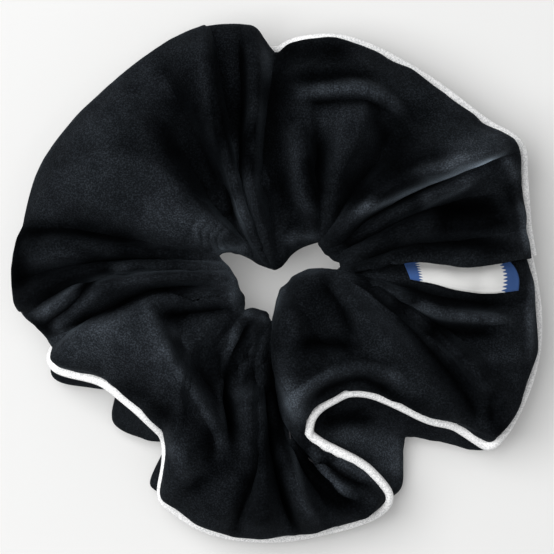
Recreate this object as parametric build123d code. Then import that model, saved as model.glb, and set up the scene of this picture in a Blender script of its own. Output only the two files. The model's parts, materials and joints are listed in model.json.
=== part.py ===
"""Velvet scrunchie with a piped outer edge and a woven side label.

Units are millimetres, +Z is up and Z = 0 is the surface that it lies on.
A fabric strip is folded lengthwise and seamed along its outer edge with piping in
the seam, gathered on a sewn loop of flat elastic, and closed by slipping one end
over the other. The strip is described by radial sections round the hair loop.
"""

import os
from math import atan2, cos, degrees, hypot, pi, radians, sin

from build123d import *

# ---- driving dimensions ------------------------------------------------------

VELVET = 1.2  # thickness of the velvet
ALLOWANCE = 5.0  # seam allowance turned inwards at the outer edge
SLIT = 0.7  # opening between the two allowances, filled by the piping's flange

BEAD_D = 2.4  # piping bead, over its cover
CORE_D = 1.5  # cotton core inside the bead
FLANGE = 4.2  # how far the flange reaches in from the bead's middle
FLANGE_T = 0.5  # two layers of the piping's tape
BEAD_GAP = 0.3  # between the seam's edge and the bead

ELASTIC_LOOP = 140.0  # inside length of the relaxed elastic loop
ELASTIC_W = 7.0
ELASTIC_T = 1.1
ELASTIC_LAP = 10.0  # length over which the elastic's ends are lapped and sewn
ELASTIC_LAP_ANGLE = 200.0  # where that lap sits on the loop, in degrees
LOOP_Z = 15.5  # height of the elastic's middle

CLOSING_ANGLE = 5.0  # the closing seam, in degrees round the loop
TUCK = 5.0  # how far one end is tucked into the other, in degrees
TUCK_GAP = 0.35  # between the tucked end and the end that covers it
TUCK_BACK = 7.0  # the tucked end's outer edge stops this much further in
PRESSED = 0.5  # depth to which the underside is pressed flat by the surface
SECTION_STEP = 7.5  # degrees between two sections of the strip

LABEL_L = 25.0
LABEL_W = 7.5
LABEL_T = 0.45
LABEL_START = 29.0  # distance of the label's inner end from the loop's axis
LABEL_Z = 32.6  # height of the label's inner end
LABEL_SLOPE = 11.0  # how steeply it falls outwards, in degrees
LABEL_TILT = 2.0  # how steeply it falls away from the lapped end, in degrees
LABEL_GAP = 0.45  # between the label and the velvet round it

THREAD_D = 0.4
STITCH_PITCH = 5.0  # from one topstitch of the closing seam to the next
THREAD_GAP = 0.3  # between a thread and the cloth that it lies on

# ---- the strip's sections, counter-clockwise from the closing seam -----------
# angle in degrees; radius of the inner fold and of the outer seam from the loop's
# axis; height of the outer seam, of the crown and of the underside
SECTIONS = [
    (5, 15.0, 58.5, 11.0, 31.0, 0.0),
    (10, 14.5, 59.0, 10.5, 32.5, 0.0),
    (20, 13.0, 62.0, 13.0, 29.0, 1.5),
    (30, 12.5, 64.5, 18.0, 32.0, 3.0),
    (45, 13.0, 60.5, 15.0, 30.0, 1.0),
    (60, 10.5, 59.0, 13.0, 33.0, 0.0),
    (75, 8.5, 59.0, 12.0, 32.0, 0.5),
    (86, 7.5, 57.5, 12.0, 34.0, 1.0),
    (93, 7.5, 54.5, 9.0, 28.0, 0.5),
    (104, 8.0, 59.5, 7.0, 30.0, 0.0),
    (118, 9.5, 60.5, 6.0, 27.0, 0.0),
    (134, 12.0, 60.0, 6.0, 32.0, 0.0),
    (150, 14.5, 60.5, 6.0, 34.0, 0.5),
    (164, 13.5, 61.0, 6.0, 31.0, 0.5),
    (176, 11.0, 62.0, 7.0, 27.0, 0.0),
    (186, 9.5, 61.0, 8.0, 30.0, 0.0),
    (195, 9.0, 57.0, 10.0, 27.0, 0.5),
    (205, 9.0, 55.5, 14.0, 31.0, 2.0),
    (219, 10.0, 50.0, 18.0, 32.0, 2.5),
    (232, 10.5, 51.5, 15.0, 30.0, 1.0),
    (243, 11.0, 58.0, 9.0, 28.0, 0.0),
    (255, 10.5, 61.0, 6.5, 31.0, 0.0),
    (268, 11.0, 61.0, 6.5, 27.0, 0.0),
    (281, 11.0, 59.5, 8.0, 30.0, 0.0),
    (293, 9.0, 55.0, 12.0, 33.0, 1.5),
    (304, 8.0, 51.5, 17.0, 34.0, 3.0),
    (314, 8.5, 56.0, 16.0, 32.0, 2.5),
    (323, 10.0, 61.5, 13.0, 29.0, 1.0),
    (334, 12.0, 62.0, 10.0, 31.0, 0.0),
    (346, 14.0, 61.5, 9.0, 27.0, 0.0),
    (356, 15.0, 60.0, 10.0, 29.0, 0.0),
]


def at(angle, radius, height):
    """A point given by its angle, radius and height round the hair loop's axis."""
    turn = radians(angle)
    return Vector(radius * cos(turn), radius * sin(turn), height)


def outline(section):
    """Outer face of the velvet in one section, from the seam over the crown to the seam."""
    _, fold, seam, seam_z, crown, floor = section
    width = seam - fold
    up, down = crown - seam_z, seam_z - floor
    rise, drop = crown - LOOP_Z, LOOP_Z - floor
    half = SLIT / 2
    return [
        (seam, seam_z + half),
        (seam - 0.01 * width, seam_z + 0.32 * up),
        (seam - 0.11 * width, seam_z + 0.70 * up),
        (seam - 0.30 * width, seam_z + 0.95 * up),
        (fold + 0.42 * width, crown),
        (fold + 0.20 * width, LOOP_Z + 0.90 * rise),
        (fold + 0.05 * width, LOOP_Z + 0.56 * rise),
        (fold, LOOP_Z),
        (fold + 0.05 * width, LOOP_Z - 0.56 * drop),
        (fold + 0.20 * width, LOOP_Z - 0.90 * drop),
        (fold + 0.42 * width, floor),
        (seam - 0.30 * width, floor + 0.04 * down),
        (seam - 0.11 * width, floor + 0.28 * down),
        (seam - 0.01 * width, floor + 0.66 * down),
        (seam, seam_z - half),
    ]


def offset_inwards(points, distance):
    """The same open outline moved inwards by a distance, point by point."""
    moved = []
    for i, (r, z) in enumerate(points):
        before, after = points[max(i - 1, 0)], points[min(i + 1, len(points) - 1)]
        dr, dz = after[0] - before[0], after[1] - before[1]
        size = hypot(dr, dz)
        moved.append((r - distance * dz / size, z + distance * dr / size))
    return moved


def velvet_wire(section):
    """The velvet cut across: two panels joined at the inner fold, with the two
    seam allowances lying against each other at the outer edge."""
    angle, _, seam, seam_z, _, _ = section
    outer = outline(section)
    half = SLIT / 2
    root, end = seam - 2.2, seam - ALLOWANCE
    inner = offset_inwards(outer, VELVET)[1:-1]
    inner = [(root, seam_z + half + VELVET)] + inner + [(root, seam_z - half - VELVET)]
    corners = [
        (root, seam_z - half - VELVET),
        (end, seam_z - half - VELVET),
        (end, seam_z - half),
        (seam, seam_z - half),
    ]
    lower = [at(angle, r, z) for r, z in corners]
    upper = [at(angle, r, 2 * seam_z - z) for r, z in corners]
    edges = [Spline([at(angle, r, z) for r, z in outer])]
    edges += [Line(lower[3], lower[2]), Line(lower[2], lower[1]), Line(lower[1], lower[0])]
    edges += [Spline([at(angle, r, z) for r, z in reversed(inner)])]
    edges += [Line(upper[0], upper[1]), Line(upper[1], upper[2]), Line(upper[2], upper[3])]
    return Wire(edges)


def tucked(section):
    """A section made smaller, to slip inside the end that covers it."""
    angle, fold, seam, seam_z, crown, floor = section
    inset = VELVET + TUCK_GAP
    return (angle, fold + inset, seam - TUCK_BACK, seam_z, crown - inset, floor + inset)


def section_at(angle):
    """The section at any angle, eased from one listed section to the next."""
    ring = SECTIONS + [(SECTIONS[0][0] + 360, *SECTIONS[0][1:])]
    turn = (angle - ring[0][0]) % 360 + ring[0][0]
    for a, b in zip(ring, ring[1:]):
        if a[0] <= turn <= b[0]:
            share = (turn - a[0]) / (b[0] - a[0])
            eased = share * share * (3 - 2 * share)
            return (angle, *(x + eased * (y - x) for x, y in zip(a[1:], b[1:])))
    raise ValueError(angle)


def sections_between(first, last):
    """Sections at even steps between two angles, both included."""
    count = round((last - first) / SECTION_STEP)
    return [section_at(first + (last - first) * i / count) for i in range(count + 1)]


def casing_sections():
    """The sections from the covering end to just before the tucked end."""
    return sections_between(CLOSING_ANGLE, CLOSING_ANGLE + 360 - SECTION_STEP)


# ---- the pieces ----------------------------------------------------------------


def velvet_casing():
    """One gathered strip, with its far end tucked into its near end. It is pressed flat
    where it lies on the surface."""
    open_part = casing_sections()
    ends = [CLOSING_ANGLE + 360, CLOSING_ANGLE + 360 + TUCK]
    ends = [tucked(section_at(a)) for a in ends]
    strip = Solid.make_loft([velvet_wire(s) for s in open_part + ends])
    reach = 4 * max(s[2] for s in SECTIONS)
    below = Solid.make_box(reach, reach, reach, Plane((-reach / 2, -reach / 2, PRESSED - reach)))
    return (strip - below).solid()


def round_wire(section, radius, height, diameter):
    """A circle in one section's plane, given by the radius and height of its middle."""

    def rim(turn):
        turn = radians(turn)
        return at(section[0], radius + diameter / 2 * cos(turn), height + diameter / 2 * sin(turn))

    third = 120
    starts = [-third / 2 + i * third for i in range(3)]
    return Wire([ThreePointArc(rim(a), rim(a + third / 2), rim(a + third)) for a in starts])


def bead_middle(section):
    """Distance of the bead's middle from the loop's axis."""
    return section[2] + BEAD_GAP + BEAD_D / 2


def cover_wire(section):
    """The piping's cover cut across: a bead with a flat flange reaching into the seam."""
    angle, seam_z = section[0], section[3]
    middle, half = bead_middle(section), FLANGE_T / 2
    neck = middle - (BEAD_D**2 / 4 - half**2) ** 0.5
    top, bottom = at(angle, neck, seam_z + half), at(angle, neck, seam_z - half)
    far_top = at(angle, middle - FLANGE, seam_z + half)
    far_bottom = at(angle, middle - FLANGE, seam_z - half)
    return Wire(
        [
            ThreePointArc(bottom, at(angle, middle + BEAD_D / 2, seam_z), top),
            Line(top, far_top),
            Line(far_top, far_bottom),
            Line(far_bottom, bottom),
        ]
    )


def piping():
    """The piping's cover and its core, with their ends butted at the closing seam."""
    gap = degrees(BEAD_GAP / SECTIONS[0][2])
    ring = sections_between(CLOSING_ANGLE + gap, CLOSING_ANGLE + 360 - gap)
    core = Solid.make_loft([round_wire(s, bead_middle(s), s[3], CORE_D) for s in ring])
    cover = Solid.make_loft([cover_wire(s) for s in ring])
    return (cover - core).solid(), core


def edge_thread():
    """The long seam's two threads, above and below the allowances and the flange."""
    ring = casing_sections()[1:-1]
    rest = SLIT / 2 + VELVET + THREAD_D / 2 + THREAD_GAP
    return [
        Solid.make_loft([round_wire(s, s[2] - 3.6, s[3] + side * rest, THREAD_D) for s in ring])
        for side in (1, -1)
    ]


def rod(start, end, diameter=THREAD_D):
    """A straight piece of thread between two points."""
    along = end - start
    return Solid.make_cylinder(diameter / 2, along.length, Plane(origin=start, z_dir=along))


def elastic_band():
    """Flat elastic sewn into a loop, with its ends lapped."""
    inside = ELASTIC_LOOP / (2 * pi)

    def arc_band(inner, start, sweep):
        face = Face(
            Wire.make_polygon(
                [
                    at(start, r, LOOP_Z + z)
                    for r, z in (
                        (inner, -ELASTIC_W / 2),
                        (inner + ELASTIC_T, -ELASTIC_W / 2),
                        (inner + ELASTIC_T, ELASTIC_W / 2),
                        (inner, ELASTIC_W / 2),
                    )
                ]
            )
        )
        return Solid.revolve(face, sweep, Axis.Z)

    lap = degrees(ELASTIC_LAP / (inside + ELASTIC_T))
    ring = arc_band(inside, 0, 360)
    return ring + arc_band(inside + ELASTIC_T, ELASTIC_LAP_ANGLE - lap / 2, lap)


def elastic_thread():
    """Two zigzag rows across the elastic's lap, seen on both of its faces."""
    inside = ELASTIC_LOOP / (2 * pi)
    clear = THREAD_D / 2 + 0.1
    steps, reach, swing = 5, ELASTIC_W / 2 - 0.6, 2.2
    stitches = []
    for row in (-6.5, 6.5):
        for radius in (inside - clear, inside + 2 * ELASTIC_T + clear):
            for i in range(steps):
                low = -reach + 2 * reach * i / steps
                high = low + 2 * reach / steps
                side = swing / 2 if i % 2 else -swing / 2
                middle = ELASTIC_LAP_ANGLE + row
                start = at(middle + side, radius, LOOP_Z + low + 0.22)
                end = at(middle - side, radius, LOOP_Z + high - 0.22)
                stitches.append(rod(start, end))
    return stitches


def closing_thread():
    """Topstitches beside the lapped end, from the outer edge over the crown and down
    the inner side."""
    angle = CLOSING_ANGLE + SECTION_STEP
    path = Spline([at(angle, r, z) for r, z in outline(section_at(angle))[2:9]])
    count = int(path.length / STITCH_PITCH)
    stitches = []
    for i in range(count):
        start, end = path @ ((i + 0.15) / count), path @ ((i + 0.75) / count)
        away = at(angle + 90, 1, 0).cross(end - start).normalized()
        lift = away * (THREAD_D / 2 + THREAD_GAP)
        stitches.append(rod(start + lift, end + lift))
    return stitches


def woven_label():
    """A flat woven tab that hangs from its upper edge beside the lapped end."""
    turn, slope, tilt = radians(CLOSING_ANGLE), radians(LABEL_SLOPE), radians(LABEL_TILT)
    along = Vector(cos(turn) * cos(slope), sin(turn) * cos(slope), -sin(slope))
    aside = Vector(sin(turn), -cos(turn), 0)
    down = aside * cos(tilt) - along.cross(aside) * -sin(tilt)
    corner = at(CLOSING_ANGLE, LABEL_START, LABEL_Z) + aside * LABEL_GAP
    plane = Plane(origin=corner, x_dir=along, z_dir=down.cross(along))
    return plane * Pos(LABEL_L / 2, -LABEL_W / 2, 0) * Box(LABEL_L, LABEL_W, LABEL_T)


def build():
    """Every piece by name, moved so that the middle of the assembly's box is over the
    origin and the flat underside at Z = 0."""
    cover, core = piping()
    parts = {
        "velvet_casing": velvet_casing(),
        "piping_cover": cover,
        "piping_core": core,
        "edge_seam_thread": Compound(edge_thread()),
        "elastic_band": elastic_band(),
        "elastic_joint_thread": Compound(elastic_thread()),
        "closing_seam_thread": Compound(closing_thread()),
        "woven_label": woven_label(),
    }
    box = Compound(list(parts.values())).bounding_box()
    shift = Vector(-box.center().X, -box.center().Y, -PRESSED)
    print("the hair loop's axis is at", shift.X, shift.Y, "and the size is", box.size)
    return {name: shape.moved(Location(shift)) for name, shape in parts.items()}


if __name__ == "__main__":
    os.makedirs("parts", exist_ok=True)
    for name, shape in build().items():
        export_step(shape, f"parts/{name}.step")
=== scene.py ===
"""Looks of a black velvet scrunchie with silver-white piping and a woven side label.

Metres, +Z up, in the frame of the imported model. Folds are described round the hair
loop's axis: angles in degrees counter-clockwise from +X, lengths in millimetres. Lobe A
is the large one towards -X and +Y, and lobe B is the one towards +X and +Y.
"""

import json
import math

import bpy
import numpy as np
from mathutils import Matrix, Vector
from mathutils.bvhtree import BVHTree


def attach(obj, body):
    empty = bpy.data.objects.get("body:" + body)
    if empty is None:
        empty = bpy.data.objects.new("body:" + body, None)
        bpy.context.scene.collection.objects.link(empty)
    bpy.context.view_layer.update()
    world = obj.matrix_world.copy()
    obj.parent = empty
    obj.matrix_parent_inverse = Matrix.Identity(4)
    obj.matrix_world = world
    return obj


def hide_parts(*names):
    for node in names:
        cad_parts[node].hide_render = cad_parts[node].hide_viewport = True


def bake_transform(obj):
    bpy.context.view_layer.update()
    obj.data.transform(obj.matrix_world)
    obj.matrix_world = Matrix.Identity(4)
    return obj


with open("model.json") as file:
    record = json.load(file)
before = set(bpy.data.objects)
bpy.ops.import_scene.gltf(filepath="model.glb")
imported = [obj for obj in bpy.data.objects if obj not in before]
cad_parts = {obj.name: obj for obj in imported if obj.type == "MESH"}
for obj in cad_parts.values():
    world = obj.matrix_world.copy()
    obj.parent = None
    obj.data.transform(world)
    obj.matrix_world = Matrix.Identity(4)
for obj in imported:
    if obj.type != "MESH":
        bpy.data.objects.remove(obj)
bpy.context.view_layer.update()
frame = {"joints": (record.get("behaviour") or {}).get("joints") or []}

MM = 0.001
JOINTS = {joint["name"]: joint for joint in frame["joints"]}
LOOP = Vector(JOINTS["elastic_slip"]["pos_m"])  # middle of the elastic loop

# ---- the velvet strip ----

COLUMNS_PER_FOLD = 8  # mesh columns from one fold line to the next
UPPER_ROWS = 48  # mesh rows over the upper panel
LOWER_ROWS = 22
SEAM_ROW = 2 * UPPER_ROWS - 2  # the seam's row in the refined mesh
RING_OVERLAP = (2, 3)  # rows repeated before and after a ring while it is refined
LINE_STEPS = 400  # steps along a fold line
CREST = 33.0  # height of the ridges
FLOOR = 1.2  # height of the underside's middle surface
INNER_Z = 15.0  # height of the inner fold
DEEPER = 1.5  # scales every valley's depth
INNER_DEPTH = 0.3  # share of a valley's first depth that is left at the inner fold
SEAM_DEPTH = 0.5  # share of its second depth that is left at the seam
CREST_POWERS = (2.2, 0.68)  # how square the upper panel's section is
BELLY_POWERS = (2.8, 0.5)  # how square the lower panel's section is
RIM_START = 0.94  # share of the way out at which the upper panel reaches its rim
LOWEST = 4.0  # the upper panel stays above this
ELASTIC_TOP = 21.0  # and above this where the elastic passes
ELASTIC_RADIUS = 23.5
ELASTIC_REACH = 5.0
ELASTIC_POWER = 4

# Lobe A hides the seam between these angles: the seam is tucked in under it.
HIDDEN_FROM = (91, 97)
HIDDEN_TO = (199, 193)
TUCK = 9.0  # how far inwards the hidden seam lies
TUCK_START = 0.92  # share of the way out at which the cloth turns inwards to it
TUCKED_Z = 4.0  # its height
TUCKED_Z_START = 0.85  # share of the way out at which the cloth starts down to it

HOLD = 0.25  # how firmly the simulation keeps the cloth near its place
CALMING = 1  # smoothing passes over what the simulation moved
GROWTH = 0.035  # how much longer the cloth is than the listed folds
SETTLE_FRAMES = 12
CLOTH_THICKNESS = 1.0 * MM

# Fold lines, counter-clockwise from the lapped end. Each runs from the inner fold to
# the outer seam: angle and radius at the inner fold; angles a third and two thirds of
# the way out; angle, radius and height at the seam; how far the line lies below the
# crest at a third and at two thirds of the way.
FOLDS = [
    ("lip edge", 2, 13, 8, 4, 5, 61, 11, 2, 3),
    ("lip ridge", 5, 14, 11, 7, 8, 60.8, 11, 1, 2),
    ("valley", 10, 15.5, 14, 12, 11, 60.8, 11, 6, 7),
    ("ridge above the lip", 16, 15.5, 22, 17, 14, 61.2, 11, 1, 2),
    ("valley", 22, 14, 26, 24, 20, 62.6, 11, 8, 10),
    ("thin ridge", 27, 13.5, 29.5, 28.3, 26, 64.8, 13, 4, 5),
    ("valley", 31, 13, 34, 31, 28, 65.8, 14, 9, 9),
    ("lobe B lower edge", 37, 13, 40.5, 33.4, 30.2, 65.6, 16, 0, 0),
    ("lobe B plane", 40, 13, 45.5, 41, 36, 62.2, 15, 1.5, 2),
    ("valley", 43, 13.5, 50.5, 51.4, 47, 60.2, 13, 8, 6),
    ("ridge", 46, 13.5, 62, 63.6, 61, 59.5, 12, 1, 2),
    ("valley", 49, 12.5, 74, 76, 74, 59.8, 12, 7, 4),
    ("short ridge", 54, 11, 78, 84, 82, 58.4, 12, 1.5, 3),
    ("flank", 84, 4.6, 92, 90, 87, 57, 10, 6, 6),
    ("valley between lobes", 98, 3.5, 100.5, 95.5, 90.5, 55, 9, 10, 10),
    ("top ridge", 114, 3.3, 108, 98.5, 96, 60.2, 10, 2, 3),
    ("wedge", 119, 3.6, 111, 101.5, 99.5, 61.6, 10, 8, 8),
    ("wedge valley", 123, 3.9, 114, 108, 105, 62.8, 10, 8, 10),
    ("sharp ridge", 127, 4.2, 116, 110, 107, 63, 10, 1, 1),
    ("slope", 131, 4.8, 119, 115.5, 114.5, 62.6, 10, 8, 3),
    ("dark valley", 136, 5.6, 124, 120, 120, 62.2, 10, 11, 8),
    ("dark valley edge", 139, 6.5, 132.5, 127, 126, 61.6, 10, 10, 6),
    ("crease", 141, 8.5, 137, 133.5, 133, 61.3, 10, 1, 2),
    ("dome", 148, 13.5, 150, 148, 148, 62.3, 10, 1, 0),
    ("dome", 155, 16, 158, 157, 157, 62.8, 10, 2, 1),
    ("dip", 161, 16.8, 165, 166, 167.5, 62.6, 10, 6, 6),
    ("thin ridge", 163, 16, 168.5, 170.3, 172, 63.4, 10, 2.5, 3),
    ("small dome", 165, 15.4, 170.5, 173.5, 178, 64, 10, 5, 4),
    ("valley", 167, 14.6, 172, 176.3, 182.5, 64.2, 9, 9, 9),
    ("ridge", 170, 13.4, 174, 178.7, 187, 63.6, 8, 3, 4),
    ("slit", 174, 12.6, 177, 181.3, 190, 62, 7, 9, 10),
    ("tube", 178, 12, 179.5, 184, 194.5, 58.2, 8, 2, 4),
    ("valley", 184, 11.3, 185.5, 191.2, 198, 58, 10, 9, 8),
    ("flap top", 197, 11, 187.5, 192.8, 200.5, 59, 14, 3, 3),
    ("flap start", 205, 10.6, 194, 202, 208.2, 50.2, 18, 6, 1),
    ("flap notch", 208.5, 10.9, 198.5, 208, 216.4, 47.6, 18.4, 7, 1),
    ("flap middle", 212, 11.2, 203, 214, 224.4, 46.6, 18, 8, 1),
    ("flap end", 218, 12.2, 214, 225, 233.4, 47, 15, 8, 1.5),
    ("flap tuck", 220.5, 12.4, 221, 233, 239.8, 53.2, 12, 7.5, 2),
    ("flap corner", 223, 12.6, 228, 240, 242.7, 61, 9, 7, 3),
    ("valley", 230, 10.4, 241, 249, 246, 61.8, 8, 9, 6),
    ("ridge", 240, 9.8, 254, 260, 252, 63.2, 7, 4, 3),
    ("valley", 246, 9.6, 258, 263, 258, 63.6, 6.5, 8, 6),
    ("column", 250, 10.4, 259.5, 265, 266, 63.2, 6.5, 7, 3),
    ("central valley", 256, 11.3, 262, 268, 272, 62.8, 6.5, 12, 9),
    ("thin ridge", 259, 11.3, 265, 272, 278, 62.2, 6.5, 9, 4),
    ("valley", 261, 11.3, 266, 277, 284, 62, 7, 11, 11),
    ("thin ridge", 262, 11.3, 268, 278, 291, 61.7, 9, 12, 7),
    ("ruffle edge", 263, 11.3, 269, 279, 295.2, 59.8, 11, 12, 11),
    ("under the petal, outer", 264, 11.3, 269.5, 276.5, 293.1, 52.9, 14, 12, 12),
    ("under the petal, inner", 265, 11.3, 269.5, 273, 288, 47.5, 17, 12, 13),
    ("under the petal, end", 265, 11.1, 269, 271, 281.5, 43, 19, 11, 13),
    ("ruffle turn", 265, 10.8, 268, 271, 277.8, 39.4, 20.5, 9, 9),
    ("petal edge", 264, 10, 266, 274, 279.8, 35.3, 21.5, 1, 2),
    ("petal side", 268, 6, 273, 281, 287.7, 32.2, 22, 0, 0),
    ("petal top", 285, 3, 287, 294, 299.2, 31.6, 23, 1, 0),
    ("petal hollow", 310, 2.8, 303, 304, 309.5, 35.2, 22, 4, 1),
    ("petal middle", 335, 3, 317, 313, 315.1, 42.6, 20, 2, 1),
    ("petal slope", 352, 3.3, 326, 319, 318.1, 50.2, 17, 1, 2),
    ("petal ridge", 364, 4.6, 333, 325, 321.5, 56.3, 15, 0, 3),
    ("petal valley", 371, 7, 341, 331, 322, 62, 13, 5, 8),
    ("petal corner", 370, 8.6, 344, 334, 322.3, 65.2, 12, 5, 7),
    ("crease", 369, 9.6, 347.5, 336, 326.5, 65.5, 12, 3, 4),
    ("valley", 368, 10.4, 349.5, 340, 333.9, 65.2, 11, 7, 8),
    ("ridge", 366, 11.6, 352, 347.6, 343, 64.4, 10, 3, 3),
    ("valley", 364, 12.6, 355.5, 353, 353, 62.5, 10, 7, 7),
    ("label bed", 363, 13, 360, 358, 358, 61.4, 9.5, 5, 5),
    ("tucked end", 365, 14, 368, 365, 366, 60, 8.4, 8, 8),
]
FOLD_FIELDS = (
    "inner angle", "inner radius", "first angle", "second angle",
    "seam angle", "seam radius", "seam height", "first depth", "second depth",
    "bulge angle", "bulge radius",
)

# Where the lower panel bulges out past the seam, seen from above: angle and radius.
BULGES = {
    "flap top": (203, 59.6),
    "flap start": (209.5, 51.8),
    "flap notch": (214.6, 47.6),
    "flap middle": (221.4, 52.6),
    "flap end": (229.4, 50),
    "flap tuck": (236, 46.8),
    "flap corner": (238.4, 58.8),
    "ruffle edge": (298.6, 58.4),
    "under the petal, outer": (302, 54.5),
    "under the petal, inner": (304.5, 51),
    "under the petal, end": (306.5, 49),
    "ruffle turn": (308, 48),
    "petal edge": (309, 48.2),
    "petal side": (310.5, 49.2),
    "petal top": (312, 50.6),
    "petal hollow": (313.5, 52.6),
    "petal middle": (315.5, 55.2),
    "petal slope": (317, 58),
    "petal ridge": (318.8, 61.5),
    "petal valley": (320.8, 64),
}
SEAM_ROUNDING = 6  # smoothing passes along the seam
SEAM_REACH = 0.5 * UPPER_ROWS  # rows beside the seam that move with it
SEAM_FADE = 1.5  # how quickly they move less, away from it
PIPED = 2.0  # from the outline to the seam where the piping shows
UNDER_EDGE = 3.0  # from the outline to the lower panel's edge where it doesn't bulge
BULGE_SHARE = 0.3  # outer share of the lower panel that takes part in a bulge
BULGE_POWER = 0.7  # how square a bulge is
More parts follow.
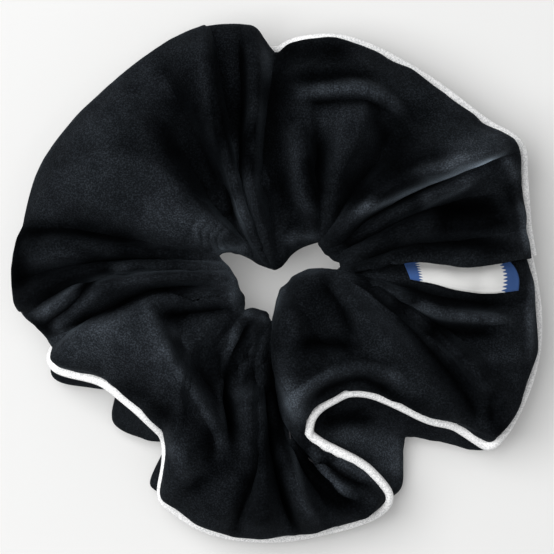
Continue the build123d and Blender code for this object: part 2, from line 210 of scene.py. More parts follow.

# Marks on the cloth that don't follow a fold line, and painted light and shade along some
# folds: half width; height in millimetres, negative for a furrow, which is real shape; tone in
# stops, painted light where positive and painted shade where negative; and the mark's points, from the
# loop's axis.
MARKS = [
    # lobe A
    ("dome sheen", 11, 0, 0.4, [(-52.7, 27), (-42, 37), (-33, 40)]),
    ("inner sheen", 7, 0, 0.75, [(-32, 18), (-25, 15), (-16, 10)]),
    ("dark valley", 4.8, -2, -1.2, [(-25, 46), (-21.5, 38), (-16.5, 26), (-12, 16)]),
    ("dome patch", 3.4, 0, -0.7, [(-38, 32), (-33, 30), (-28, 29)]),
    ("ridge foot", 1.3, 0, -2.1, [(-12, 21), (-10.8, 14)]),
    ("wedge rim", 0.9, 0, -1.3, [(-17, 56), (-16, 46), (-14.4, 36), (-13, 28)]),
    ("dome edge patch", 4, 0, -0.8, [(-27, 50), (-22, 45)]),
    ("dome crease", (2.2, 0.6), 1.6, 0.3, [(-13, 11.6), (-18.2, 15.6), (-22.8, 20.2), (-29.8, 26.4)]),
    ("above the crease", 2.6, 0, -1.3, [(-32, 38), (-27, 31), (-22.6, 23), (-19, 17.6)]),
    ("slope, inner", 1.5, 0, 0.6, [(-22, 34), (-17, 21)]),
    ("sharp ridge", (1, 1.6), 1.2, 1.6, [(-8, 11.6), (-10.2, 20.6), (-11.4, 29), (-12, 34)]),
    ("wedge, upper", 2.6, 0.8, -0.7, [(-12.8, 58), (-12.6, 47), (-12.2, 36)]),
    ("wedge valley", 1.8, -1.5, -3, [(-9, 58), (-8.4, 46), (-8.6, 34), (-8.4, 24)]),
    ("ridge slope", 1.8, 0, -0.6, [(-20.6, 42), (-17.6, 34), (-12.4, 22)]),
    ("slope, upper", 2, 0, 0.8, [(-28, 47), (-26.4, 43)]),
    ("top ridge", 1.2, 0.5, 0.9, [(-5.6, 42), (-6, 36), (-6.8, 27), (-7.2, 14)]),
    ("notch", 2.6, -1, -1.9, [(1.5, 54), (-0.4, 42), (-0.6, 30), (1.2, 20), (3, 14.5)]),
    ("dip", 2.8, -1.8, -2.9, [(-62, 10), (-53, 11), (-42, 9.8), (-33, 8)]),
    ("thin ridge", 0.9, 1.2, 0.9, [(-60.7, 8.4), (-51, 8.9), (-41.5, 7.2), (-31.9, 5.8), (-17, 4.6)]),
    ("small dome", 3, 0.5, 0.3, [(-54, 4.5), (-49, 4.6)]),
    ("left valley", 2.2, -1.5, -1.4, [(-46, 4.2), (-41, 3.8), (-31, 4.6), (-20, 4.6)]),
    ("left hollow", 3.2, -0.8, -1.7, [(-63, 6), (-61, -0.5), (-53, 0.5), (-46, 3)]),
    ("left rim", 2.2, 0, -1.2, [(-62.6, 10), (-61.6, 3), (-62.4, -5)]),
    ("beside the dip", 1.4, 0, 0.9, [(-60, 11.8), (-47, 11.8), (-40, 10.6)]),
    ("by the ridge", 1.2, 0, -1, [(-59, -5.2), (-54, -2.6)]),
    ("left furrow", 1.2, 0, -2.4, [(-48, 3.4), (-42, 4.2), (-34, 5), (-26, 5)]),
    # tube and flap C
    ("left ridge", (0.9, 1.4), 1.2, 1.6,
     [(-60.6, -9.6), (-54.6, -7.2), (-50, -4), (-46, -0.9), (-42.4, 1.2), (-32.9, 2.4), (-16, 3)]),
    ("slit", 1.3, -2.6, -3.6, [(-55.4, -10.4), (-50, -6.6), (-46, -2.8), (-44, -0.8)]),
    ("slit, outer", 1.4, 0, -1.8, [(-60, -10), (-56.4, -11), (-54.6, -12.4)]),
    ("tube rim", 1, 1, 1.3, [(-53.7, -11.4), (-48.6, -7.3), (-43, -1.8)]),
    ("tube", 2, 1, 0.3, [(-34.3, 1.2), (-20.9, 1.2), (-13, -1.5)]),
    ("tube shade", (2.2, 0.9), -1.6, -4,
     [(-50, -11), (-45, -9.7), (-39, -7.5), (-34, -5), (-29, -3.3), (-20, -2.7)]),
    ("flap top", (0.4, 1.7), 1.2, 0.4,
     [(-54.9, -14.6), (-46.7, -12.4), (-38.4, -10.2), (-33, -6.8), (-27.8, -4.8), (-15, -4.6)]),
    ("flap top shade", 1.5, -1.2, -2.6, [(-28.5, -9), (-21, -7.8), (-12, -7)]),
    ("flap plane", 6, 0, 0.9, [(-52, -15), (-42, -14), (-33, -15)]),
    ("flap, lower", 3.6, 0, 0.5, [(-31, -18), (-25.5, -24), (-21, -31)]),
    ("flap rim", 2.2, 0, -0.7, [(-38, -24.5), (-31, -28), (-26, -33)]),
    ("flap edge", (0.6, 2.6), 1.6, 1, [(-30.8, -7.5), (-29.2, -12), (-26.4, -18)]),
    ("lower flap edge", (0.5, 0.9), 2.2, 0.6, [(-27.4, -16), (-24.6, -21), (-18.8, -29.5), (-13, -40)]),
    ("flap foot", 2.4, 0, -0.6, [(-27, -24), (-22, -31), (-17, -40)]),
    ("flap shade", 2, -4.5, -0.9, [(-26.5, -10), (-22, -19), (-16, -27.5), (-11, -37)]),
    ("dark patch", 2.2, -0.8, -0.8, [(-28, -31), (-23.5, -34)]),
    ("hole edge, left", 2.6, 0, 0.9, [(-17, 5), (-13.5, -1), (-12, -6)]),
    ("upper rib", (1.8, 1.6), 0.8, 1.7, [(-27, -12), (-23.4, -15), (-21.4, -21)]),
    ("lower rib", 2.6, 0, 0.6, [(-25, -22), (-20, -30), (-15.5, -38)]),
    ("near the piping", 1.8, 0.4, 1, [(-25.6, -39), (-23.4, -43), (-22, -48)]),
    # ribs and the pocket
    ("first rib", 1.2, 1.6, -0.6, [(-13, -9.5), (-16, -13.5), (-18.2, -18), (-17.2, -26)]),
    ("rib shade", 1.4, -2.5, -1.4, [(-14.9, -17), (-13.5, -25), (-12.6, -38)]),
    ("pocket rim", 1, 2.4, 0.7,
     [(-4, -10.7), (-7.5, -14.3), (-11.1, -21.4), (-11.1, -25.9), (-8.4, -27.7), (-4.8, -25), (-4, -18.8),
      (-3.2, -12)]),
    ("pocket pit", 1.3, -3, -1.3, [(-7.4, -17.5), (-7.5, -25)]),
    ("pocket ridge", 1.5, 1.6, 0.8, [(-6.4, -28.6), (-4.9, -34.8), (-5.2, -42)]),
    ("inner floor", 2.2, 0, -0.6, [(-8.4, -42), (-12, -50)]),
    ("left floor", 2.2, -0.4, -1.4, [(-22, -50), (-16, -46.6), (-11, -43)]),
    ("pocket shade", 1.6, -0.6, -3.4,
     [(-6.4, -10.4), (-9, -14.6), (-11.6, -20.6), (-12.4, -26), (-11.4, -33), (-10.8, -41)]),
    ("petal shadow", 1.3, 0, -1.2, [(-1.8, -20), (-1.2, -27), (0.4, -34), (3.6, -40), (8, -44)]),
    ("outer rib", 1, 1, 1.7,
     [(-10.2, -11), (-11.2, -15), (-12.4, -20), (-14.2, -26), (-14.6, -31), (-13.4, -38)]),
    ("hole rim", 1.5, 0, 1.3, [(-16, 6), (-12, 0), (-11.6, -6), (-8.6, -9.4)]),
    ("corner shade", 2, 0, -0.4, [(-26, -25), (-26, -31)]),
    ("near the corner", 2.2, 0, -1.8, [(-17, -36), (-17, -44)]),
    ("pocket foot", 1.7, 0, 0.9, [(-5, -27), (-3.4, -33)]),
    ("pocket", 1.8, 0, 1.1, [(-5, -13), (-8, -21)]),
    ("central valley", 3, -2, -1.8, [(-0.8, -12.5), (-2, -24), (-2.4, -34), (-4.4, -44)]),
    ("valley, lower", 1.6, -1.5, -1.6, [(-7.4, -46), (-9, -51), (-10.4, -60)]),
    ("column", 2.6, 0.8, -0.8, [(-4.2, -47), (-4.6, -58)]),
    ("left rib", 0.8, 0.6, 1.3, [(1.6, -33), (2.2, -40), (3.1, -46), (5, -52.4), (8.8, -59)]),
    ("left rib foot", 1.1, -0.8, -1.7, [(0, -43), (1.2, -49), (3.2, -56)]),
    ("left rib shade", 1.5, -1.4, -2.8, [(-2, -36), (-1.2, -45), (1, -53), (4.2, -59.6)]),
    ("mid ribs", 1.6, 0.2, 0, [(3.8, -40), (6, -47), (9, -52)]),
    ("ruffle, low", 1.8, 0, -0.3, [(4, -49), (8, -54.6), (15, -56)]),
    ("rib valley", 2.2, -1.8, -2.7, [(5, -40.4), (8, -47), (12, -51.6), (18.4, -54)]),
    ("right rib", 0.7, 1.6, 2, [(7.6, -40.4), (9.6, -45), (13.1, -49.2), (18, -52)]),
    ("right rib shade", 1.3, -1.5, -2.9, [(10.4, -42.4), (14.4, -46.8), (20.4, -50)]),
    ("ruffle hem", 1.2, 0, 1.2, [(11, -42), (17, -45.4), (22, -49.6)]),
    # petal
    ("petal rim", 2, 0.4, 1.5, [(-0.6, -16), (0.8, -22), (2.6, -28), (4.8, -34.4)]),
    ("petal wedge", 1.8, -2.2, -1.7, [(9.8, -0.9), (14.5, -6.6), (17, -13)]),
    ("petal blob", 4.2, 0, -0.8, [(8, -3), (9, -10)]),
    ("petal front", 8, 0, -0.4, [(7, -8), (13, -16)]),
    ("below the pit", 2.6, 0, -0.9, [(16, -16.6), (22, -22)]),
    ("over the piping", 2, 0, -1.1, [(27, -27.4), (34, -30)]),
    ("petal side", 3, 0, -0.5, [(2.6, -19.5), (8, -20)]),
    ("petal pit", 1.9, -2.4, -2.2, [(4.6, -15.6), (10.5, -15.6), (17, -15.6)]),
    ("roll", (1, 1.8), 1.6, 1.3,
     [(2, -29.4), (5, -26.6), (9, -24), (14, -21.8), (19.4, -20.9), (25.4, -22.4), (31, -25.8)]),
    ("roll shade", 1.5, -1.2, -2, [(7.2, -27.4), (12, -24.5), (17.8, -23), (22.5, -24.2), (28, -27.6)]),
    ("petal plane", 4.4, 0.6, 0.6, [(16.6, -2.7), (23.6, -8.5), (31.5, -17.5)]),
    ("petal root", 1.6, 0, -2, [(17.5, 1.6), (22.5, -3), (29.5, -8)]),
    ("petal top", 1.4, 0, 0.8, [(13, -1.6), (15, -6)]),
    ("petal valley", 1.9, -2.6, -2.1, [(27, -6.4), (32.4, -13), (38, -20), (43, -26.6), (47, -33)]),
    ("petal line", (0.5, 0.8), 1.6, 1, [(20.5, 0.6), (28, -7), (33.8, -12.4), (37, -16)]),
    ("by the corner", 2.4, 0, -1, [(40.6, -19), (45, -24), (48, -30)]),
    ("petal corner", 2, 0, -1.2, [(50, -31), (52, -36)]),
    ("past the line", 1.2, -0.8, -0.4, [(35.4, -11.6), (40, -15.6)]),
    ("corner shade", 1.2, -1.2, -1.2, [(50.2, -27), (50.4, -34)]),
    ("right ridge", (0.8, 0.5), 2, 1.7,
     [(25.4, -3.2), (30, -5.4), (34, -6.8), (39.1, -8.6), (48, -9.5), (54.4, -10.6)]),
    ("under the label", 2.2, -2.2, -2.3, [(29, -1.6), (34, -4.2), (42, -5.8), (55, -6.2)]),
    ("right hollow", 2.2, -2.2, -2.2, [(34.6, -11.4), (41.8, -11.9), (51, -12.6)]),
    ("right fold", 1.6, 1.4, 0.3, [(45.3, -20), (51.6, -19.4), (57.5, -18)]),
    ("right edge", 1, 0.8, 1.6, [(59.4, 1), (59.2, -5), (58.8, -11), (58.6, -19)]),
    # lip and lobe B
    ("lip plane", 1.7, 0.6, 0.5, [(27, 10.4), (34, 12.6), (47.5, 11.8), (55.8, 11.4)]),
    ("lip hem", 1.1, 0, 0.2, [(20, 0.8), (28, 3.6), (40, 5.2), (54, 5)]),
    ("lip shade", 1.9, -1.6, -2.3, [(18, 3), (28, 6.8), (42, 7.4), (54, 7.2)]),
    ("above the lip", 3, -2.6, -2.8, [(52, 15.6), (43.8, 14.8), (37, 14.4)]),
    ("lip, inner", 1.8, -2, -2.2, [(34, 14.4), (26, 11.8), (19, 9.2), (13.5, 8)]),
    ("second ridge", 0.9, 0.2, 1.6, [(33, 17.6), (36.2, 19.2), (41.3, 21.4), (46, 24)]),
    ("second ridge root", 0.8, 0.8, 0.4, [(20.9, 11.4), (26, 14.2), (31, 16.8)]),
    ("below the edge", 1.3, 0, -1.8, [(22, 14.6), (27, 17), (33, 19.6)]),
    ("beneath lobe B", 0.9, -1.2, -2.6, [(16, 11), (22, 15.4), (28, 18), (34, 20.6), (40, 23)]),
    ("recess", 1.8, -0.8, -1, [(30, 13.4), (37, 15), (46, 17.4), (52, 20)]),
    ("corner tab", 1.4, 0, 1.5, [(53.4, 28), (55.6, 24.6)]),
    ("beside the tab", 1.4, 0, -1.2, [(53.6, 22.6), (55, 17)]),
    ("lobe B edge", (1.1, 1.1), 0.8, 2.9,
     [(17, 14.6), (20.9, 17), (27, 19.8), (33, 22.3), (40, 24.8), (46, 26.8), (50, 28.6), (54, 30.8)]),
    ("lobe B rim", 1.4, 0.2, 1.7, [(31, 24.2), (38, 26.4), (46, 28), (52, 28.8)]),
    ("lobe B slope", 2.4, 0, -1, [(27, 24), (32, 26), (38, 28)]),
    ("lobe B plane", 3.4, 0, 0.9, [(40, 29.6), (46, 31.4), (52, 32.5)]),
    ("above lobe B edge", 2, 0, -0.9, [(12, 15.6), (17, 18.4), (21.4, 20.4)]),
    ("hollow", 4.6, -2.6, -1.5, [(31, 36), (28, 29), (21, 22.5), (16, 18.4)]),
    ("past the hollow", 3, 0, -0.8, [(27, 39), (36, 38)]),
    ("hollow, inner", 2.2, -2, -0.8, [(22, 38), (25, 33)]),
    ("hollow rim", 1.2, 1, 0.5, [(20, 42), (18.4, 36.5), (15.4, 29)]),
    ("lobe B ridge", 2.2, 1, 0.6, [(17, 40), (14.6, 30), (11.2, 19)]),
    ("lobe B valley", 2.6, -2, -1.8, [(9, 33), (10.2, 26), (10.4, 20)]),
    ("ridge flank", 1.5, 0, -0.9, [(18, 38), (13.4, 22)]),
    ("left of ridge", 2, 0, -0.9, [(2.6, 46), (3, 36)]),
    ("lobe A crown", 2, 0, 1.3, [(-4.6, 53.6), (-3.4, 48)]),
    ("short ridge", 1.3, 1.2, 0.6, [(3, 36), (4, 29.9), (4.4, 22), (7.6, 13.4)]),
    ("short ridge shade", 1.3, 0, -1.4, [(5.4, 29), (6.2, 23), (8.4, 17)]),
    ("lobe B crease", 1.2, 1.8, 1.5,
     [(5, 43.4), (10.5, 44.4), (16, 45.4), (21, 44.4), (26.2, 41.4), (30, 38)]),
    ("under the crease", 1.6, -1.8, -2, [(7, 41.8), (12, 41.8), (18, 41.8), (26, 40.4)]),
    ("hole lip shade", 2, 0, -0.8, [(1, 13), (5, 13)]),
    ("above the crease", 1.6, 0, -1.7, [(4, 47.4), (12, 48), (22, 47.6)]),
    ("upper edge", 3.4, -1, -1.8, [(2.4, 53), (8, 53.6), (15, 53)]),
    ("over the crease", 1.3, 0, -0.9, [(3, 46.4), (10, 46.6), (16, 46.6)]),
    ("far right edge", 1, 0.8, 1.6, [(56.4, 18), (57.2, 13), (58.2, 6)]),
    # round the hole, and inside the mouth
    ("lip of the hole", 1.2, 0.5, 1.7, [(1.6, 9), (4, 10.6), (9, 11)]),
    ("hole, upper left", 1.2, 0, 1.3, [(-17, 6), (-12, 8.4), (-7, 7.6)]),
    ("hole edge, lower", 1.2, 0, 1.2, [(-8.6, -9), (-5, -10), (-1.6, -11)]),
    ("hole edge, petal", 1.2, 0, 1.1, [(-0.2, -9), (0.8, -3), (4.6, 0.6), (13, 1.4)]),
    ("pucker", 0.6, 1.3, 0.5, [(-19.4, 9), (-19.8, 11.6), (-17.4, 14.6)]),
    ("pucker", 0.6, 1.3, 0.5, [(-17.4, 8.4), (-18, 10.8), (-15.8, 13.6)]),
    ("pucker", 0.6, 1.3, 0.5, [(-15.4, 8), (-16.2, 10.2), (-14, 12.8)]),
    ("pucker", 0.6, 1.3, 0.5, [(-13.6, 8), (-14.4, 9.8), (-12.4, 12)]),
    ("mouth", 5, 0, 1.3, [(14, -36), (19, -38), (24, -42), (26, -47)]),
    ("mouth edge", 1.8, 0, 1, [(26.6, -37), (27.6, -42), (27.4, -48)]),
    ("mouth hollow", 2.3, 0, -2.6, [(10.6, -34), (15, -33), (20.4, -32.4)]),
]
TONE_SHARE = 1.25  # scales every mark's tone of painted light and shade
POINTS_PER_MARK = 12  # steps for each of its points
MARK_REACH = 3  # a mark ends at this many half widths
END_FADE = 0.25  # how strong it is at its two ends
FADE_RISE = 1.6  # how quickly it gains full strength from there
EDGE_RISE = 2.5  # how quickly its height does, from the panel's two edges

# ---- trims ----

BEAD_RADIUS = 1.3 * MM
BEAD_OUT = 1.5 * MM  # from the seam to the bead's middle
BEAD_SIDES = 5
THREAD_ROWS = 14  # mesh rows from the seam to its threads
THREAD_DEPTHS = (1.8 * MM, 2.6 * MM)  # from the upper panel down to each of them
THREAD_INSET = 2.2 * MM  # from the upper panel in to them, where it is steep
THREAD_RADIUS = 0.2 * MM
THREAD_SIDES = 2
LIP_STITCH_COLUMN = 10  # mesh column of the lapped end that is stitched
LIP_STITCH_ROWS = slice(12, SEAM_ROW - 8)
LIP_STEPS = 240  # steps along the stitched line
STITCH_PITCH = 10  # steps from one stitch to the next
STITCH_STEPS = 6  # steps that one stitch covers
STITCH_RISE = 0.55 * MM

LABEL_GRID = (60, 16)
# The label's edges in millimetres from the loop's axis
LABEL_SEWN_EDGE = [(28.6, 5.2), (35, 4.9), (42, 4.6), (49, 4.8), (53.6, 5.2)]
LABEL_FREE_EDGE = [(30.7, -0.2), (36, -1.2), (42, -2.7), (49, -3.5), (56.4, -2.9)]
LABEL_BOW = 1.3  # how far its outer end bulges
LABEL_BED_COLUMNS = 80  # mesh columns at the tucked end, which it lies on
LABEL_STIFFENING = 6  # smoothing passes that bridge the cloth's dips
LABEL_LIFT = 1.6 * MM  # from the cloth's middle surface to the tape
TAPE_THICKNESS = 0.35 * MM
OVERHEAD = 0.1  # a height in metres above the whole object
DOWN = Vector((0, 0, -1))

# ---- looks ----
# Patterns are in features per metre, and colours are linear RGB. Tones are two stops:
# a pattern's value and the colour there.


PILE_PATCHES = 110
PILE_FIBRES = 2600
PILE_TONES = ((0.32, (0.0040, 0.0050, 0.0063)), (0.7, (0.0106, 0.0128, 0.0156)))
PILE_FLECKS = ((0.45, (0.5, 0.5, 0.5)), (0.75, (2.2, 2.2, 2.2)))
PILE_SPECULAR = 0.04  # specular where the pile carries neither painted light nor shade; it and the sheen below scale with them
PILE_SHEEN = 0.025
SHEEN_TINT = (0.62, 0.78, 0.95, 1)
PIPING_YARNS = 2400
PIPING_TONES = ((0.36, (0.62, 0.63, 0.64)), (0.6, (0.98, 0.98, 0.98)))
THREAD_TWISTS = 2500
TWIST_STRETCH = (1, 1, 3)
BLACK_THREAD_TONES = ((0.35, (0.006, 0.006, 0.008)), (0.65, (0.016, 0.016, 0.019)))
WHITE_THREAD_TONES = ((0.35, (0.62, 0.62, 0.61)), (0.65, (0.80, 0.80, 0.79)))
ELASTIC_RIBS = 400
ELASTIC_YARNS = 1800
ELASTIC_RIB_TONES = ((0, (0.56, 0.56, 0.55)), (1, (0.74, 0.74, 0.73)))
ELASTIC_YARN_TONES = ((0.3, (0.85, 0.85, 0.85)), (0.7, (1, 1, 1)))
LABEL_WEAVE = 1500
LABEL_WEAVE_TONES = ((0, (0.86, 0.86, 0.86)), (1, (1, 1, 1)))
# White, then blue: the stops are shares of the label's length, from its middle.
LABEL_COLOURS = ((0.374, (0.72, 0.72, 0.71)), (0.382, (0.022, 0.075, 0.24)))
BAND_TEETH = 62  # radians of a blue band's toothed edge over the label's width
TOOTH_LENGTH = 0.018
BAND_ROUGHNESS = 0.01
BAND_WOBBLES = 900
TABLE_WHITE = (0.52, 0.52, 0.517, 1)
TABLE_GLOW = (1.0, 1.0, 0.99, 1)
TABLE_GLOW_STRENGTH = 0.16
TABLE_SIZE = 1.2

# ---- lights and camera, in metres and watts ----

ROOM_LIGHT = 0.32
WHITE = (1.0, 1.0, 1.0, 1)
SOFTBOX_SIZE = 0.8
LEFT_SOFTBOX = (-0.42, 0.13, 0.80)
LEFT_POWER = 11.0
OVERHEAD_SOFTBOX = (0.1, 0.1, 1.3)
OVERHEAD_POWER = 3.0
CAMERA_HEIGHT = 1.0
CAMERA_SHIFT = 1.9 * MM  # the camera is this far towards +Y of the origin
SHARP_HEIGHT = 12 * MM  # height at which the view is VIEW_WIDTH across
VIEW_WIDTH = 133 * MM
SENSOR_WIDTH = 36


def smooth_table(rows, steps):
    """Rows of numbers drawn out into smooth curves, with flat tops and bottoms."""
    y = np.asarray(rows, float)
    secant = np.diff(y, axis=0)
    before, after = secant[:-1], secant[1:]
    never_zero = 1e-12
    mean = 2 * before * after / (before + after + never_zero)
    inner = np.where(before * after > 0, mean, 0.0)
    slope = np.vstack([secant[:1], inner, secant[-1:]])
    place = np.linspace(0, len(y) - 1, steps)
    i = np.minimum(place.astype(int), len(y) - 2)
    t = (place - i)[:, None]
    a = (1 + 2 * t) * (1 - t) ** 2 * y[i] + t * (1 - t) ** 2 * slope[i]
    b = t * t * (3 - 2 * t) * y[i + 1] + t * t * (t - 1) * slope[i + 1]
    return a + b


def polar(angle, radius, height):
    """Points in metres from angles in degrees, radii and heights in millimetres."""
    turn = np.radians(angle)
    x = LOOP.x + MM * radius * np.cos(turn)
    y = LOOP.y + MM * radius * np.sin(turn)
    return np.stack([x, y, MM * height + 0 * x], axis=-1)


def ease(value, start, end):
    """0 before start, 1 after end, and smooth between them."""
    t = np.clip((value - start) / (end - start), 0, 1)
    return t * t * (3 - 2 * t)


def fold_columns():
    """The fold table drawn out to mesh columns: an array for each field, among them the
    angle and radius of the lower panel's bulge."""
    rows = []
    for name, *numbers in FOLDS:
        seam = dict(zip(FOLD_FIELDS, numbers))
        level = (seam["seam angle"], seam["seam radius"] - UNDER_EDGE)
        rows.append((*numbers, *BULGES.get(name, level)))
    steps = (len(FOLDS) - 1) * COLUMNS_PER_FOLD + 1
    return dict(zip(FOLD_FIELDS, smooth_table(rows, steps).T))


def near_line(place, width, line):
    """How near places are to a line, 1 on it and 0 far off, fading at its ends. A pair of
    widths is for its left and right sides. All are in millimetres from the loop's axis."""
    left, right = width if isinstance(width, tuple) else (width, width)
    line = smooth_table(line, POINTS_PER_MARK * len(line))
    along = np.gradient(line, axis=0)
    reach = MARK_REACH * max(left, right)
    low, high = line.min(axis=0) - reach, line.max(axis=0) + reach
    inside = np.all((place > low) & (place < high), axis=-1)
    nearby = place[inside]
    nearness = np.zeros(len(nearby))
    for i, point in enumerate(line):
        across, up = nearby[:, 0] - point[0], nearby[:, 1] - point[1]
        side = along[i, 0] * up - along[i, 1] * across
        share = i / (len(line) - 1)
        fade = min(1.0, END_FADE + math.sin(math.pi * share) * FADE_RISE)
        spread = np.where(side > 0, left, right)
        nearness = np.maximum(nearness, fade * np.exp(-(across**2 + up**2) / spread**2))
    result = np.zeros(place.shape[:-1])
    result[inside] = nearness
    return result


def hidden_share(angle):
    """1 where lobe A hides the seam, 0 where the seam shows."""
    return ease(angle, *HIDDEN_FROM) * ease(angle, *HIDDEN_TO)


def section(share, powers):
    """Height of a panel's rounded section: 0 at both of its edges and 1 midway."""
    return (1 - abs(2 * share - 1) ** powers[0]) ** powers[1]


def upper_panel(fold, angles, depths, shares):
    """Rows of points from the inner fold over the crest to the seam."""
    inner, seam_z = fold["inner radius"], fold["seam height"]
    tucked = hidden_share(fold["seam angle"])
    out = fold["seam radius"] - PIPED * (1 - tucked)
    rows = []
    for s in shares:
        row = int(round(s * (len(angles) - 1)))
        radius = inner + (out - inner) * min(s / RIM_START, 1.0)
        radius = radius - tucked * TUCK * ease(s, TUCK_START, 1.0)
        rise = section(s, CREST_POWERS)
        edge = seam_z + (TUCKED_Z - seam_z) * tucked * ease(s, TUCKED_Z_START, 1.0)
        base = INNER_Z + (edge - INNER_Z) * s
        height = base + (CREST - base) * rise - DEEPER * depths[row] * rise
        over_elastic = np.exp(-(((radius - ELASTIC_RADIUS) / ELASTIC_REACH) ** ELASTIC_POWER))
        least = ELASTIC_TOP * over_elastic + (1 - over_elastic) * LOWEST
        rows.append(polar(angles[row], radius, np.maximum(height, least)))
    return rows


def lower_panel(fold, angles, shares):
    """Rows of points from the seam under the strip back to the inner fold."""
    inner, seam_z = fold["inner radius"], fold["seam height"]
    tucked = hidden_share(fold["seam angle"])
    reach = fold["seam radius"] - PIPED - tucked * TUCK - inner
    edge = seam_z + (TUCKED_Z - seam_z) * tucked
    bulge = polar(fold["bulge angle"], fold["bulge radius"] - tucked * TUCK, 0)
    rows = []
    for s in shares:
        row = int(round(s * (len(angles) - 1)))
        base = INNER_Z + (edge - INNER_Z) * s
        height = base + (FLOOR - base) * section(s, BELLY_POWERS)
        swell = np.sin(math.pi * min((1 - s) / BULGE_SHARE, 1.0)) ** BULGE_POWER
        place = polar(angles[row], inner + reach * s, 0) * (1 - swell) + bulge * swell
        place[:, 2] = MM * height
        rows.append(place)
    return rows


def calmed(points):
    """Points after one smoothing pass along the first axis. The two ends stay."""
    points = points.copy()
    points[1:-1] = (points[:-2] + 2 * points[1:-1] + points[2:]) / 4
    return points


def rounded_seam(points):
    """Rounds the seam's turns, and moves the cloth near the seam with it."""
    seam = points[:, UPPER_ROWS - 1]
    smooth = seam
    for _ in range(SEAM_ROUNDING):
        smooth = calmed(smooth)
    moved = (smooth - seam)[:, None]
    row = np.arange(points.shape[1])
    nearness = 1 - abs(row - (UPPER_ROWS - 1)) / SEAM_REACH
    return points + moved * (ease(nearness, 0, 1) ** SEAM_FADE)[None, :, None]


def strip_points():
    """Grid of the strip's middle surface: columns round the loop, rows from the inner
    fold over the upper panel to the seam, and back under the lower panel."""
    fold = fold_columns()
    lines = [fold[name] for name in ("inner angle", "first angle", "second angle", "seam angle")]
    angles = smooth_table(np.stack(lines), LINE_STEPS)
    first, second = fold["first depth"], fold["second depth"]
    depths = np.stack([INNER_DEPTH * first, first, second, SEAM_DEPTH * second])
    depths = smooth_table(depths, LINE_STEPS)
    shares = (1 - np.cos(np.linspace(0, math.pi, UPPER_ROWS))) / 2
    upper = upper_panel(fold, angles, depths, shares)
    shares = (1 + np.cos(np.linspace(0, math.pi, LOWER_ROWS))) / 2
    lower = lower_panel(fold, angles, shares[1:-1])
    return rounded_seam(np.array(upper + lower).transpose(1, 0, 2))


def grid_mesh(name, points, closed_rows):
    """A mesh of quads over a grid of points. closed_rows joins each column's ends."""
    columns, rows = points.shape[:2]
    mesh = bpy.data.meshes.new(name)
    faces = []
    for i in range(columns - 1):
        for j in range(rows if closed_rows else rows - 1):
            k = (j + 1) % rows
            faces.append((i * rows + j, (i + 1) * rows + j, (i + 1) * rows + k, i * rows + k))
    mesh.from_pydata(points.reshape(-1, 3).tolist(), [], faces)
    piece = bpy.data.objects.new(name, mesh)
    bpy.context.scene.collection.objects.link(piece)
    for polygon in mesh.polygons:
        polygon.use_smooth = True
    return piece


def pin(piece, columns, rows):
    """Pins the inner fold, the seam and the lower panel, and holds the rest loosely."""
    held = piece.vertex_groups.new(name="held")
    for j in range(rows):
        edge = j in (0, 1, rows - 1, UPPER_ROWS - 2, UPPER_ROWS - 1, UPPER_ROWS)
        weight = 1.0 if edge or j > UPPER_ROWS else HOLD
        held.add([i * rows + j for i in range(columns)], weight, "REPLACE")


def add_cloth(piece):
    """A cloth simulation that lets the strip buckle, with no gravity or collisions."""
    modifier = piece.modifiers.new("settle", "CLOTH")
    settings = modifier.settings
    settings.quality = 5
    settings.mass = 0.3
    settings.tension_stiffness = 20
    settings.compression_stiffness = 20
    settings.shear_stiffness = 5
    settings.bending_stiffness = 0.02
    settings.vertex_group_mass = "held"
    settings.pin_stiffness = 1.0
    settings.shrink_min = -GROWTH
    settings.effector_weights.gravity = 0.0
    modifier.collision_settings.use_collision = False
    modifier.collision_settings.use_self_collision = False
    modifier.point_cache.frame_end = SETTLE_FRAMES


def settled(piece):
    """The places of a piece's vertices at the end of its simulation."""
    scene = bpy.context.scene
    for frame_number in range(1, SETTLE_FRAMES + 1):
        scene.frame_set(frame_number)
    mesh = piece.evaluated_get(bpy.context.evaluated_depsgraph_get()).data
    places = np.zeros(len(mesh.vertices) * 3, np.float32)
    mesh.vertices.foreach_get("co", places)
    scene.frame_set(1)
    return places


def relaxed(points):
    """The strip after a short cloth simulation: it is a little longer than the
    listed folds, so it buckles into finer ones, held near its place."""
    piece = grid_mesh("cloth", points, closed_rows=True)
    pin(piece, *points.shape[:2])
    add_cloth(piece)
    moved = settled(piece).reshape(points.shape) - points
    mesh = piece.data
    bpy.data.objects.remove(piece)
    bpy.data.meshes.remove(mesh)
    for _ in range(CALMING):
        moved = calmed(moved)
        moved = (np.roll(moved, 1, 1) + 2 * moved + np.roll(moved, -1, 1)) / 4
    return points + moved


def halved(points):
    """Points with a new one midway between each two along the first axis, on the cubic
    curve through the four nearest."""
    first, last = 2 * points[:1] - points[1:2], 2 * points[-1:] - points[-2:-1]
    wide = np.concatenate([first, points, last])
    midway = (9 * (wide[1:-2] + wide[2:-1]) - wide[:-3] - wide[3:]) / 16
    finer = np.zeros((2 * len(points) - 1, *points.shape[1:]))
    finer[::2] = points
    finer[1::2] = midway
    return finer


def refined(points):
    """The grid with half the spacing. The rows run round in a ring."""
    points = halved(points).swapaxes(0, 1)
    before, after = RING_OVERLAP
    ring = np.concatenate([points[-before:], points, points[:after]])
    return halved(ring)[2 * before : 1 - 2 * after].swapaxes(0, 1)


